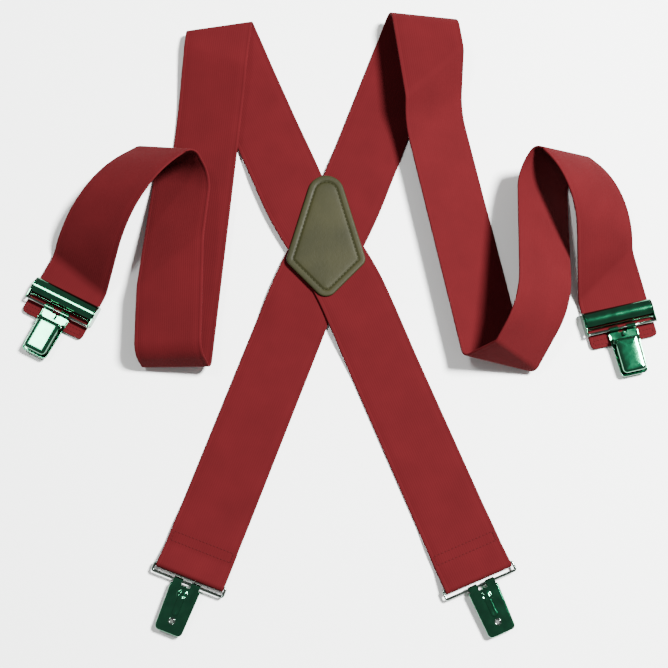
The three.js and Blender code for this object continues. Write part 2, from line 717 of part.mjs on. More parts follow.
function placed(frame) {
  const group = new THREE.Group();
  group.applyMatrix4(frame);
  suspenders.add(group);
  return group;
}

const underStrap = strapGeometry(backLeft, backLeft.endsAt, frontRight, FRONT_RIGHT.tail);
const overStrap = strapGeometry(backRight, backRight.endsAt, frontLeft, FRONT_LEFT.tail);
add(suspenders, "under_strap", underStrap, webbing);
add(suspenders, "over_strap", overStrap, webbing);
const backSheet = raised(roundedOutline(PATCH_OUTLINE), 0, LEATHER_THICK, 10);
add(suspenders, "patch_back_leather", backSheet, leather);
add(suspenders, "patch_front_leather", frontLeather(), leather);
add(suspenders, "patch_stitching", patchStitching(), leatherThread);

const backs = { back_left: backFrame(backLeft, BACK_LEFT), back_right: backFrame(backRight, BACK_RIGHT) };
for (const [name, frame] of Object.entries(backs)) {
  const group = placed(frame);
  add(group, `${name}_ring`, wireRing(), steel);
  add(group, `${name}_loop_stitching`, loopStitching(), webThread);
  addClip(group, name);
}

const fronts = {
  front_left: frontFrame(frontLeft, FRONT_LEFT),
  front_right: frontFrame(frontRight, FRONT_RIGHT),
};
for (const [name, frame] of Object.entries(fronts)) {
  const group = placed(frame);
  add(group, `${name}_adjuster_frame`, adjusterFrame(), nickel);
  add(group, `${name}_adjuster_cover`, adjusterCover(), nickel);
  add(group, `${name}_adjuster_pin`, adjusterPin(), steel);
  add(group, `${name}_hem_stitching`, hemStitching(), webThread);
  addClip(group, name);
}

export default suspenders;
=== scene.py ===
"""Clip-on X-back suspenders: red webbing, an olive leather cross patch and nickel-plated metal hardware,
whose dark green colour is painted reflection.

Sizes are millimetres until MM turns them into the frame's metres. Angles are degrees until DEG turns them.
"""
import math

import bmesh
import bpy
from mathutils import Matrix, Vector


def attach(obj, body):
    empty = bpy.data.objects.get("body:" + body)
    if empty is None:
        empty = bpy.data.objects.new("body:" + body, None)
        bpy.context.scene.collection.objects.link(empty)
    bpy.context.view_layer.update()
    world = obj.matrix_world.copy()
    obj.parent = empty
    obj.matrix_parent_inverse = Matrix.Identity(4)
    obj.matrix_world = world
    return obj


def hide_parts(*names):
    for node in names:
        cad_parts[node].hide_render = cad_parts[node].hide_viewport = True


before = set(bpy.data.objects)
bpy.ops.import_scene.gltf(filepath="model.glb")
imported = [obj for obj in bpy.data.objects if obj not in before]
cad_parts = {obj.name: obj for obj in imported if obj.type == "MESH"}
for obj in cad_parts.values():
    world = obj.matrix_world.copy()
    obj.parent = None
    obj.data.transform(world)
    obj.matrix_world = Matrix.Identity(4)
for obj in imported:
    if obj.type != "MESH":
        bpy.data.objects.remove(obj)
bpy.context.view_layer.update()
MM = 0.001
DEG = math.pi / 180
UP = Vector((0, 0, 1))

# ---------------------------------------------------------------- camera
CAMERA_TILT = 14  # degrees from straight down
CAMERA_PLACE = (0.00596, -0.2860, 0.8733)
LENS = 66.34
SENSOR = 36.0


def add_camera():
    data = bpy.data.cameras.new("camera")
    data.lens = LENS
    data.sensor_width = SENSOR
    data.clip_start = 0.01
    camera = bpy.data.objects.new("camera", data)
    camera.location = CAMERA_PLACE
    camera.rotation_euler = (CAMERA_TILT * DEG, 0, 0)
    bpy.context.collection.objects.link(camera)
    bpy.context.scene.camera = camera


# ---------------------------------------------------------------- floor and light, metres and watts
WORLD_LIGHT = 0.29
KEY = {"place": (1.08, 0.39, 1.76), "target": (0, -0.05, 0), "size": 0.45, "watts": 275}
CARD = {"place": (-0.605, 0.31, 1.6), "target": (-0.2, -0.07, 0), "size": 0.31, "watts": 13}
FLOOR_Z = -0.0001
FLOOR_HALF = 3.0


def add_light(name, place, target, size, watts):
    data = bpy.data.lights.new(name, "AREA")
    data.shape = "DISK"
    data.size = size
    data.energy = watts
    lamp = bpy.data.objects.new(name, data)
    lamp.location = place
    lamp.rotation_euler = (Vector(target) - Vector(place)).to_track_quat("-Z", "Y").to_euler()
    bpy.context.collection.objects.link(lamp)


def add_studio():
    scene = bpy.context.scene
    world = bpy.data.worlds.new("studio")
    world.use_nodes = True
    background = world.node_tree.nodes["Background"]
    background.inputs["Color"].default_value = (1, 1, 1, 1)
    background.inputs["Strength"].default_value = WORLD_LIGHT
    scene.world = world
    add_light("key", **KEY)
    add_light("card", **CARD)


def add_floor():
    mesh = bpy.data.meshes.new("floor")
    corners = [(x * FLOOR_HALF, y * FLOOR_HALF, 0) for x, y in ((-1, -1), (1, -1), (1, 1), (-1, 1))]
    mesh.from_pydata(corners, [], [(0, 1, 2, 3)])
    floor = bpy.data.objects.new("floor", mesh)
    floor.location.z = FLOOR_Z
    floor.data.materials.append(floor_material())
    bpy.context.collection.objects.link(floor)


# ---------------------------------------------------------------- materials
RIB_PITCH = 0.0016  # metres from one lengthwise rib of the web to the next
PICK_PITCH = 0.0011  # metres from one weft pick to the next
WEB_SHADES = [(0.25, (0.041, 0.0041, 0.0051)), (0.75, (0.049, 0.0047, 0.0059))]
LEATHER_SHADES = [(0.3, (0.0110, 0.0114, 0.0036)), (0.7, (0.0166, 0.0163, 0.0055))]
PAD_SHADES = [(0.3, (0.012, 0.016, 0.013)), (0.7, (0.022, 0.028, 0.023))]


class Nodes:
    """A short way to write a node tree. An input is given by name, or by number as _0, _1 and so on."""

    def __init__(self, name):
        self.material = bpy.data.materials.new(name)
        self.material.use_nodes = True
        self.tree = self.material.node_tree
        self.shader = self.tree.nodes["Principled BSDF"]

    def add(self, kind, **inputs):
        node = self.tree.nodes.new(kind)
        for key, value in inputs.items():
            if key in node.bl_rna.properties:
                setattr(node, key, value)
                continue
            socket = node.inputs[int(key[1:])] if key[0] == "_" and key[1:].isdigit() else node.inputs[key]
            if isinstance(value, bpy.types.NodeSocket):
                self.tree.links.new(value, socket)
            else:
                socket.default_value = value
        return node

    def maths(self, operation, first, second=0.0):
        return self.add("ShaderNodeMath", operation=operation, _0=first, _1=second).outputs[0]

    def ramp(self, factor, stops):
        node = self.add("ShaderNodeValToRGB", Fac=factor)
        elements = node.color_ramp.elements
        while len(elements) < len(stops):
            elements.new(0.5)
        for element, (place, colour) in zip(elements, stops):
            element.position = place
            element.color = (*colour, 1)
        return node.outputs["Color"]

    def set(self, **inputs):
        for key, value in inputs.items():
            socket = self.shader.inputs[key.replace("_", " ")]
            if isinstance(value, bpy.types.NodeSocket):
                self.tree.links.new(value, socket)
            else:
                socket.default_value = value

    def bump(self, height, strength, distance):
        node = self.add("ShaderNodeBump", Strength=strength, Distance=distance, Height=height)
        self.tree.links.new(node.outputs["Normal"], self.shader.inputs["Normal"])


def floor_material():
    made = Nodes("white_table")
    made.set(Base_Color=(0.95, 0.965, 0.95, 1), Roughness=0.7, Specular_IOR_Level=0.2)
    return made.material


def web_material():
    """Elastic webbing: fine lengthwise ribs, weft picks across, slight shade changes. UVs are metres."""
    made = Nodes("red_webbing")
    uv = made.add("ShaderNodeUVMap", uv_map="cloth").outputs["UV"]
    split = made.add("ShaderNodeSeparateXYZ", Vector=uv)
    picks = made.maths("SINE", made.maths("MULTIPLY", split.outputs[0], 2 * math.pi / PICK_PITCH))
    ribs = made.maths("SINE", made.maths("MULTIPLY", split.outputs[1], 2 * math.pi / RIB_PITCH))
    weave = made.maths("MULTIPLY", ribs, picks)
    relief = made.maths("ADD", made.maths("MULTIPLY", ribs, 0.6), made.maths("MULTIPLY", weave, 0.4))
    fuzz = made.add("ShaderNodeTexNoise", Vector=uv, Scale=2600.0, Detail=3.0)
    cloudy = made.add("ShaderNodeTexNoise", Vector=uv, Scale=38.0, Detail=4.0)
    height = made.maths("ADD", relief, made.maths("MULTIPLY", fuzz.outputs[0], 0.8))
    made.bump(height, 0.35, 0.00012)
    shade = made.maths("ADD", made.maths("MULTIPLY", relief, 0.1), cloudy.outputs[0])
    made.set(Base_Color=made.ramp(shade, WEB_SHADES), Roughness=0.85, Specular_IOR_Level=0.02)
    made.set(Sheen_Weight=0.02, Sheen_Roughness=0.5, Sheen_Tint=(0.9, 0.15, 0.15, 1))
    return made.material


def leather_material():
    """Olive leather with pores, grain and cloudy shades."""
    made = Nodes("olive_leather")
    place = made.add("ShaderNodeTexCoord").outputs["Object"]
    pores = made.add("ShaderNodeTexVoronoi", Vector=place, Scale=1500.0)
    grain = made.add("ShaderNodeTexNoise", Vector=place, Scale=420.0, Detail=6.0)
    cloudy = made.add("ShaderNodeTexNoise", Vector=place, Scale=45.0, Detail=4.0)
    height = made.maths("ADD", made.maths("MULTIPLY", pores.outputs[0], 0.5), grain.outputs[0])
    made.bump(height, 0.3, 0.00025)
    rough = made.maths("ADD", made.maths("MULTIPLY", grain.outputs[0], 0.25), 0.42)
    colour = made.ramp(cloudy.outputs[0], LEATHER_SHADES)
    made.set(Base_Color=colour, Roughness=rough, Specular_IOR_Level=0.1)
    return made.material


def thread_material(name, colour):
    """Matt sewing thread with a fine twist."""
    made = Nodes(name)
    place = made.add("ShaderNodeTexCoord").outputs["Object"]
    twist = made.add("ShaderNodeTexNoise", Vector=place, Scale=3000.0, Detail=2.0)
    made.bump(twist.outputs[0], 0.5, 0.0001)
    lighter = tuple(1.35 * c for c in colour)
    shades = made.ramp(twist.outputs[0], [(0.35, colour), (0.65, lighter)])
    made.set(Base_Color=shades, Roughness=0.7, Specular_IOR_Level=0.04)
    return made.material


def metal_material(name, dark, light, rough):
    """Plated sheet under a clear coat, slightly uneven in shade and polish."""
    made = Nodes(name)
    place = made.add("ShaderNodeTexCoord").outputs["Object"]
    cloudy = made.add("ShaderNodeTexNoise", Vector=place, Scale=160.0, Detail=5.0)
    fine = made.add("ShaderNodeTexNoise", Vector=place, Scale=1800.0, Detail=3.0)
    colour = made.ramp(cloudy.outputs[0], [(0.3, dark), (0.75, light)])
    made.bump(fine.outputs[0], 0.06, 0.0001)
    blur = made.maths("ADD", made.maths("MULTIPLY", cloudy.outputs[0], 0.08), rough)
    made.set(Base_Color=colour, Roughness=blur, Metallic=1.0, Coat_Weight=0.8, Coat_Roughness=0.04)
    return made.material


def pad_material():
    made = Nodes("pad_plastic")
    place = made.add("ShaderNodeTexCoord").outputs["Object"]
    fine = made.add("ShaderNodeTexNoise", Vector=place, Scale=900.0, Detail=4.0)
    made.bump(fine.outputs[0], 0.2, 0.0002)
    made.set(Base_Color=made.ramp(fine.outputs[0], PAD_SHADES), Roughness=0.55)
    return made.material


WEB = web_material()
LEATHER = leather_material()
WEB_THREAD = thread_material("web_thread", (0.034, 0.0032, 0.0040))
PATCH_THREAD = thread_material("patch_thread", (0.0085, 0.0088, 0.0035))
# Painted reflection: the dark green base colour of the plated metal stands in for the dark, green-cast
# surroundings that the nickel plating reflects; the white highlights come from the coat and the lamps.
REFLECTION_PAINTED_METAL = metal_material("nickel_painted_reflection", (0.006, 0.120, 0.052), (0.012, 0.170, 0.076), 0.05)
# Painted reflection: the dark greenish base colour of the bright plated wire, rails and pins stands in for
# the dark, green-cast surroundings that the plating reflects.
WIRE = metal_material("bright_wire", (0.07, 0.11, 0.09), (0.22, 0.28, 0.24), 0.08)
PAD = pad_material()

# ---------------------------------------------------------------- webbing sizes, millimetres
WEB_WIDTH = 50
WEB_THICK = 1.6
LEATHER_THICK = 1.6
GAP = 0.3
PLY_PITCH = WEB_THICK + GAP
Z_TABLE = WEB_THICK / 2
Z_LOWER = LEATHER_THICK + GAP + WEB_THICK / 2
Z_UPPER = Z_LOWER + PLY_PITCH
Z_PATCH_TOP = Z_UPPER + WEB_THICK / 2 + GAP
BLEND = 48  # half the stretch under the patch where the back run turns into the front run
BLEND_CELLS = 20
WIRE_R = 1.0
RING_DEPTH = 6.2
RING_Z = 4.4
LOOP_PLAY = 0.35
LOOP_R = WIRE_R + LOOP_PLAY + WEB_THICK / 2
LOOP_RISE = 15
LOOP_FALL = 7
LOOP_CURVE = 12
LOOP_LEAD = 44
RETURN_FLAT = 12
TAIL_ROUND = 3  # rounded corners of the front tails
TAIL_PAST_RAIL = 10.5
RAIL_OVER_WEB = 3.3
SETTLE_R = 60
SETTLE_ANGLE = 6

# A bend: how far along the middle of the strap, skew of its crease, radius, turn (positive curls up).
FRONT_LEFT = {
    "heading": 113, "offset": -6.9, "height": Z_UPPER, "tail": 818.5, "settle": [(84, 3.8), (160, -1.9)],
    "bends": [
        (195, -14, 3, 175), (222, 16, 26.5, 13.5), (261, -24.5, 193, -9), (467.5, -4, 5, -109.5),
        (488.5, 0, 13.5, -70), (554.5, 37, 20, -16.5), (629.5, -21.5, 19.5, 61.5), (650.5, -15, 8, 89.5),
        (709, -27, 63.5, 74), (776.5, 11.5, 12, -40),
    ],
}
FRONT_RIGHT = {
    "heading": 69.5, "offset": 4.2, "height": Z_LOWER, "tail": 832.5, "settle": [(66, 1.8)],
    "bends": [
        (199.5, 14, 11, 175.5), (258, -35.5, 8.5, 43), (291, -8.5, 50, -32.5), (486.5, 20, 5, -101.5),
        (505.5, -7.5, 5, -45.5), (548, 12.5, 54, -43), (653, 15, 31.5, 52.5), (674, 15, 6, 97.5),
        (717, 22.5, 53.5, 68), (781.5, -31, 10, -39.5),
    ],
}
BACK_LEFT = {"heading": -110.8, "offset": 1.6, "height": Z_LOWER, "bar": 266, "settle": 63}
BACK_RIGHT = {"heading": -67.1, "offset": -2.8, "height": Z_UPPER, "bar": 271.5, "settle": 84}

FACET = 4.0  # degrees turned by one facet of a bend
FLAT_FACET = 5.0  # longest facet where the strap is straight


def step(along, drop):
    """Two gentle bends that lower a strap by drop, or raise it where drop is negative."""
    swing = SETTLE_ANGLE * DEG
    arcs = 2 * SETTLE_R * (1 - math.cos(swing))
    straight = (abs(drop) - arcs) / math.sin(swing)
    half = (straight + SETTLE_R * swing) / 2
    turn = math.copysign(SETTLE_ANGLE, drop)
    return [(along - half, 0, SETTLE_R, -turn), (along + half, 0, SETTLE_R, turn)]


class Course:
    """A strap run that starts flat at the cross patch and folds along its bends."""

    def __init__(self, heading, offset, height, bends):
        turn = heading * DEG
        foot = Vector((math.sin(turn) * offset, -math.cos(turn) * offset, height))
        self.start = Matrix.Translation(foot) @ Matrix.Rotation(turn, 4, "Z")
        self.steps = []
        placed = self.start
        for along, skew, radius, angle in bends:
            swing = abs(angle) * DEG
            side = math.copysign(1, angle)
            length = radius * swing
            normal = Vector((math.cos(skew * DEG), math.sin(skew * DEG), 0))
            begin = along * normal.x - length / 2
            landing = normal * (begin + radius * math.sin(swing))
            landing.z = side * radius * (1 - math.cos(swing))
            crease = UP.cross(normal)
            past = Matrix.Translation(landing) @ Matrix.Rotation(-side * swing, 4, crease)
            after = placed @ past @ Matrix.Translation(-normal * (begin + length))
            self.steps.append({
                "before": placed, "after": after, "normal": normal, "begin": begin,
                "length": length, "radius": radius, "side": side, "skew": skew,
            })
            placed = after
        self.end = placed

    def place(self, along, across, lift):
        """Where a point of the flat strap lies once the strap is folded."""
        flat = Vector((along, across, 0))
        last = None
        for bend in self.steps:
            if flat.dot(bend["normal"]) >= bend["begin"]:
                last = bend
        if last is None:
            return self.start @ Vector((along, across, lift))
        travelled = flat.dot(last["normal"]) - last["begin"]
        if travelled >= last["length"]:
            return last["after"] @ Vector((along, across, lift))
        radius, side = last["radius"], last["side"]
        angle = travelled / radius
        inward = radius * math.sin(angle) - travelled - lift * side * math.sin(angle)
        point = flat + last["normal"] * inward
        point.z = side * radius * (1 - math.cos(angle)) + lift * math.cos(angle)
        return last["before"] @ point

    def lines(self, first, last):
        """The lines across the strap at which it is faceted, as (along, slant)."""
        marks = [(first, 0.0)]
        for bend in self.steps:
            slant = -math.tan(bend["skew"] * DEG)
            facets = max(2, math.ceil(bend["length"] / bend["radius"] / (FACET * DEG)))
            for i in range(facets + 1):
                marks.append(((bend["begin"] + bend["length"] * i / facets) / bend["normal"].x, slant))
        marks.append((last, 0.0))
        fine = [marks[0]]
        for (a, slant_a), (b, slant_b) in zip(marks, marks[1:]):
            cells = max(1, math.ceil((b - a) / FLAT_FACET))
            for i in range(1, cells + 1):
                share = i / cells
                fine.append((a + (b - a) * share, slant_a + (slant_b - slant_a) * share))
        return fine


def front_course(run):
    settling = [bend for along, drop in run["settle"] for bend in step(along, drop)]
    return Course(run["heading"], run["offset"], run["height"], settling + run["bends"])


def back_course(run):
    """Down to the table, up over the ring's bar, round it, and back under the strap as a short ply."""
    rise = LOOP_RISE * DEG
    fall = LOOP_FALL * DEG
    curl = 180 + LOOP_RISE - LOOP_FALL
    on_top = Z_TABLE + PLY_PITCH
    climb = RING_Z + LOOP_R * math.cos(rise) - LOOP_CURVE * (1 - math.cos(rise)) - on_top
    descent = RING_Z - LOOP_R * math.cos(fall) - LOOP_CURVE * (1 - math.cos(fall)) - Z_TABLE
    loop_start = run["bar"] - RING_DEPTH - LOOP_R * math.sin(rise)
    loop_length = LOOP_R * curl * DEG
    fall_at = loop_start + loop_length + descent / math.sin(fall) + LOOP_CURVE * fall / 2
    course = Course(run["heading"], run["offset"], run["height"], [
        *step(run["settle"], run["height"] - Z_TABLE),
        *step(run["bar"] - LOOP_LEAD, -PLY_PITCH),
        (loop_start - climb / math.sin(rise) - LOOP_CURVE * rise / 2, 0, LOOP_CURVE, LOOP_RISE),
        (loop_start + loop_length / 2, 0, LOOP_R, -curl),
        (fall_at, 0, LOOP_CURVE, -LOOP_FALL),
    ])
    course.ends_at = fall_at + LOOP_CURVE * fall / 2 + RETURN_FLAT
    return course


# The line beside the selvedge: distance from the web's edge, and depth.
SELVEDGE_LINE = [(1.0, 0), (2.2, 0.02), (2.8, 0.13), (3.4, 0)]
TOP_CELLS = 5


def web_section():
    """Half the closed outline of the web: (v, h) from one edge over the top to the other."""
    half = WEB_WIDTH / 2
    thick = WEB_THICK / 2
    edge = [(half - thick + thick * math.cos(a * DEG), thick * math.sin(a * DEG)) for a in (0, 30, 60)]
    groove = [(half - inset, thick - depth) for inset, depth in SELVEDGE_LINE]
    flat = [(groove[-1][0] * (1 - i / TOP_CELLS), thick) for i in range(1, TOP_CELLS)]
    right = edge + groove + flat
    return right + [(0, thick)] + [(-v, h) for v, h in reversed(right)]


TOP_SECTION = web_section()
SECTION = TOP_SECTION + [(v, -h) for v, h in reversed(TOP_SECTION[1:-1])]


def strap_piece(name, back, front, tail):
    """One strap from its back loop through the crossing to its front tail."""
    rows = []
    stretch = []
    for along, slant in reversed(back.lines(BLEND, back.ends_at)):
        rows.append([back.place(along - v * slant, -v, h) for v, h in SECTION])
        stretch.append([-(along - v * slant) for v, h in SECTION])
    for i in range(1, BLEND_CELLS):
        share = i / BLEND_CELLS
        weight = smoothstep(share, 0, 1)
        along = BLEND * (2 * share - 1)
        there = [front.place(along, v, h) for v, h in SECTION]
        here = [back.place(-along, -v, h) for v, h in SECTION]
        rows.append([a.lerp(b, weight) for a, b in zip(here, there)])
        stretch.append([along] * len(SECTION))
    for along, slant in front.lines(BLEND, tail - TAIL_ROUND):
        rows.append([front.place(along + v * slant, v, h) for v, h in SECTION])
        stretch.append([along + v * slant for v, h in SECTION])
    for turn in (20, 40, 60, 75, 90):
        along = tail - TAIL_ROUND + TAIL_ROUND * math.sin(turn * DEG)
        pinch = 1 - TAIL_ROUND * (1 - math.cos(turn * DEG)) / (WEB_WIDTH / 2)
        rows.append([front.place(along, v * pinch, h) for v, h in SECTION])
        stretch.append([along] * len(SECTION))
    return ribbon_mesh(name, rows, stretch)


def ribbon_mesh(name, rows, stretch):
    """Skins the rows. The UVs are the place on the flat strap in metres, for the weave."""
    count = len(SECTION)
    points = [p * MM for row in rows for p in row]
    faces = []
    for r in range(len(rows) - 1):
        for c in range(count):
            a = r * count + c
            b = r * count + (c + 1) % count
            faces.append((a, b, b + count, a + count))
    last = (len(rows) - 1) * count
    faces.append(tuple(reversed(range(count))))
    faces.append(tuple(range(last, last + count)))
    mesh = bpy.data.meshes.new(name)
    mesh.from_pydata(points, [], faces)
    layer = mesh.uv_layers.new(name="cloth")
    for loop in mesh.loops:
        row, column = divmod(loop.vertex_index, count)
        layer.data[loop.index].uv = (stretch[row][column] * MM, SECTION[column][0] * MM)
    for polygon in mesh.polygons:
        polygon.use_smooth = True
    mesh.materials.append(WEB)
    piece = bpy.data.objects.new(name, mesh)
    bpy.context.collection.objects.link(piece)
    return piece


def add_straps():
    runs = [
        ("red_under_strap", BACK_LEFT, FRONT_RIGHT, "under_strap"),
        ("red_over_strap", BACK_RIGHT, FRONT_LEFT, "over_strap"),
    ]
    for name, back_run, front_run, node in runs:
        back = back_course(back_run)
        piece = strap_piece(name, back, front_course(front_run), front_run["tail"])
        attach(piece, "webbing")
        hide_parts(node)


# ---------------------------------------------------------------- frames of the hardware
def frame_of(origin, outward, up):
    """The frame at an origin with u outwards, v across and h up."""
    across = up.cross(outward)
    place = Matrix((outward, across, up)).transposed().to_4x4()
    place.translation = origin
    return place


def back_frame(course, run):
    """On the bar that the back clip swings on. The clip lies face down, so up points at the table."""
    loop = course.steps[-2]
    bar = loop["normal"] * loop["begin"]
    bar.z = loop["side"] * loop["radius"]
    heading = run["heading"] * DEG
    outward = Vector((math.cos(heading), math.sin(heading), 0))
    return frame_of(loop["before"] @ bar + outward * RING_DEPTH, outward, -UP)


def front_frame(course, run):
    """On the adjuster's rail, past the fold, with up on the side that shows."""
    turned = course.end.to_3x3()
    outward = turned @ Vector((1, 0, 0))
    up = -(turned @ UP)
    rail = course.end @ Vector((run["tail"] - TAIL_PAST_RAIL, 0, 0))
    return frame_of(rail + up * (WEB_THICK / 2 + RAIL_OVER_WEB), outward, up)


# ---------------------------------------------------------------- mesh building in a local frame
SHARP_EDGE = 38  # degrees between two faces that are shaded apart and may be bevelled


class Build:
    """Collects closed shells in one mesh. Local axes: u outwards, v across, h up."""

    def __init__(self, place=Matrix.Identity(4)):
        self.points = []
        self.faces = []
        self.place = place

    def loops(self, rows, closed=False):
        """Bridges rows of equal length, each a closed loop. Unless closed, the two ends get fans."""
        base = len(self.points)
        count = len(rows[0])
        for row in rows:
            self.points.extend(Vector(p) for p in row)
        spans = len(rows) if closed else len(rows) - 1
        for r in range(spans):
            here = base + r * count
            there = base + ((r + 1) % len(rows)) * count
            for c in range(count):
                n = (c + 1) % count
                self.faces.append((here + c, here + n, there + n, there + c))
        if closed:
            return
        for r, flip in ((0, True), (len(rows) - 1, False)):
            start = base + r * count
            middle = sum((self.points[start + c] for c in range(count)), Vector()) / count
            self.points.append(middle)
            tip = len(self.points) - 1
            for c in range(count):
                a = start + c
                b = start + (c + 1) % count
                self.faces.append((tip, b, a) if flip else (tip, a, b))

    def across(self, outline, v0, v1):
        """An outline in (u, h), drawn out across the strap. Its ends are single faces."""
        base = len(self.points)
        count = len(outline)
        for v in (v0, v1):
            self.points.extend(Vector((u, v, h)) for u, h in outline)
        for c in range(count):
            n = (c + 1) % count
            self.faces.append((base + n, base + c, base + count + c, base + count + n))
        self.faces.append(tuple(base + c for c in range(count)))
        self.faces.append(tuple(base + count + c for c in reversed(range(count))))

    def rod(self, radius, half, u=0.0, h=0.0):
        """A round bar across the strap with softly domed ends."""
        dome = 0.25
        sides = 24
        end = [(half, 0.55 * radius), (half - 0.25 * dome, 0.85 * radius), (half - dome, radius)]
        profile = [(-v, r) for v, r in end] + [(v, r) for v, r in reversed(end)]
        turns = [2 * math.pi * i / sides for i in range(sides)]
        self.loops([[(u + r * math.sin(t), v, h + r * math.cos(t)) for t in turns] for v, r in profile])

    def rings(self, outline, path, shape=None):
        """A shell over an outline. Its path of (inset, height) runs from the middle below to the top's."""
        rows = []
        for inset, height in path:
            row = [(u, v, height) for u, v in outline.ring(inset)]
            rows.append([shape(p) for p in row] if shape else row)
        self.loops(rows)

    def mesh(self, name):
        mesh = bpy.data.meshes.new(name)
        mesh.from_pydata([(self.place @ p) * MM for p in self.points], [], self.faces)
        made = bmesh.new()
        made.from_mesh(mesh)
        bmesh.ops.recalc_face_normals(made, faces=made.faces)
        made.to_mesh(mesh)
        made.free()
        return mesh

    def finish(self, name, material, body, nodes, bevel=0.0):
        """Makes the piece. It rides the body, stands for the CAD nodes and carries the material slot."""
        mesh = self.mesh(name)
        for polygon in mesh.polygons:
            polygon.use_smooth = True
        mesh.set_sharp_from_angle(angle=SHARP_EDGE * DEG)
        mesh.materials.append(material)
        piece = bpy.data.objects.new(name, mesh)
        bpy.context.collection.objects.link(piece)
        if bevel:
            cut = piece.modifiers.new("edges", "BEVEL")
            cut.width = bevel * MM
            cut.segments = 2
            cut.limit_method = "ANGLE"
            cut.angle_limit = SHARP_EDGE * DEG
            cut.harden_normals = True
        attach(piece, body)
        if nodes:
            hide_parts(*nodes)
        return piece


def cut_with(piece, drill):
    """Cuts the drill's shape out of the piece, then removes the drill."""
    tool = bpy.data.objects.new("drill", drill.mesh("drill"))
    bpy.context.collection.objects.link(tool)
    cut = piece.modifiers.new("hole", "BOOLEAN")
    cut.object = tool
    cut.operation = "DIFFERENCE"
    cut.solver = "EXACT"
    cut.use_self = True
    bpy.context.view_layer.objects.active = piece
    bpy.ops.object.modifier_move_to_index(modifier="hole", index=0)
    bpy.ops.object.modifier_apply(modifier="hole")
    bpy.data.objects.remove(tool)


# ---------------------------------------------------------------- outlines and curves
HAIR = 0.01  # keeps the circles of a round outline apart


class Outline:
    """A convex outline stretched round circles, given anticlockwise as (x, y, radius)."""

    def __init__(self, circles, arc=8):
        self.arc = arc
        self.radii = [r for x, y, r in circles]
        self.edges = []
        for i, (x, y, r) in enumerate(circles):
            nx, ny, nr = circles[(i + 1) % len(circles)]
            lean = math.acos((r - nr) / math.hypot(nx - x, ny - y))
            facing = math.atan2(ny - y, nx - x) - lean
            self.edges.append((facing, x * math.cos(facing) + y * math.sin(facing) + r))

    def ring(self, inset):
        """The outline moved inwards. A corner keeps its place once its radius is used up."""
        points = []
        for i, radius in enumerate(self.radii):
            a0, d0 = self.edges[i - 1]
            a1, d1 = self.edges[i]
            r = max(radius - inset, HAIR)
            e0 = d0 - inset - r
            e1 = d1 - inset - r
            cross = math.sin(a1 - a0)
            cx = (e0 * math.sin(a1) - e1 * math.sin(a0)) / cross
            cy = (e1 * math.cos(a0) - e0 * math.cos(a1)) / cross
            sweep = (a1 - a0) % (2 * math.pi)
            for k in range(self.arc + 1):
                t = a0 + sweep * k / self.arc
                points.append((cx + r * math.cos(t), cy + r * math.sin(t)))
        return points


def tapered(start, end, root_half, tip_half, root_corner, tip_corner, arc=8):
    """A four-sided outline along u, symmetric in v, with rounded corners."""
    tip = (end - tip_corner, tip_half - tip_corner, tip_corner)
    root = (start + root_corner, root_half - root_corner, root_corner)
    mirrored = [(u, -v, r) for u, v, r in (root, tip)]
    return Outline([tip, root, *mirrored], arc)


def pill(first, last, radius):
    """An outline with round ends on the middle line."""
    ends = [(last, HAIR), (first, HAIR), (first, -HAIR), (last, -HAIR)]
    return Outline([(u, v, radius) for u, v in ends])


def thick_line(points, thickness):
    """The outline of a sheet of that thickness whose middle follows the points, all in (u, h)."""
    left = []
    right = []
    for i, (x, y) in enumerate(points):
        ax, ay = points[max(i - 1, 0)]
        bx, by = points[min(i + 1, len(points) - 1)]
        reach = thickness / 2 / math.hypot(bx - ax, by - ay)
        nx = -(by - ay) * reach
        ny = (bx - ax) * reach
        left.append((x + nx, y + ny))
        right.append((x - nx, y - ny))
    return left + right[::-1]


def arc_points(cx, cy, radius, first, last, steps):
    angles = [(first + (last - first) * i / steps) * DEG for i in range(steps + 1)]
    return [(cx + radius * math.cos(a), cy + radius * math.sin(a)) for a in angles]


def spline(p, q, r, s, t):
    """Catmull-Rom value between q and r."""
    square = 2 * p - 5 * q + 4 * r - s
    cube = 3 * q - p - 3 * r + s
    return 0.5 * (2 * q + (r - p) * t + square * t * t + cube * t ** 3)


def smooth_line(points, cells):
    """A Catmull-Rom curve through the points, with that many cells between two of them."""
    ends = [points[0], *points, points[-1]]
    fine = [points[0]]
    for four in zip(ends, ends[1:], ends[2:], ends[3:]):
        for i in range(1, cells + 1):
            fine.append(tuple(spline(*values, i / cells) for values in zip(*four)))
    return fine


def smoothstep(value, low, high):
    t = min(max((value - low) / (high - low), 0), 1)
    return t * t * (3 - 2 * t)


def lifted(path, height):
    return [(first, height + h) for first, h in path]


# ---------------------------------------------------------------- stitches
THREAD_R = 0.42
THREAD_HIGH = 0.32
THREAD_SIDES = 8
BEAD_STATIONS = (-1, -0.8, -0.4, 0, 0.4, 0.8, 1)
BEAD_TIP = 0.18  # share of the thickness left at the two ends of a stitch
WEB_STITCH = {"pitch": 2.6, "length": 2.0}
PATCH_STITCH = {"pitch": 3.1, "length": 2.5, "high": 0.3}
BOX_HALF = 22.4
LOOP_BOX = (-30.4, -23.8)  # the sewing that closes a web loop, from the clip's bar
HEM_BOX = (4.6, 8.0)  # the hem of a front tail, from the rail


def bead(middle, ahead, length, high):
    """The loops of one stitch, a small rounded bead of thread."""
    side = UP.cross(ahead)
    rows = []
    for station in BEAD_STATIONS:
        size = max(math.sqrt(1 - station * station), BEAD_TIP)
        centre = middle + ahead * (station * length / 2)
        turns = [2 * math.pi * i / THREAD_SIDES for i in range(THREAD_SIDES)]
        wide = side * (THREAD_R * size)
        tall = UP * (high * size)
        rows.append([centre + wide * math.cos(t) + tall * math.sin(t) for t in turns])
    return rows


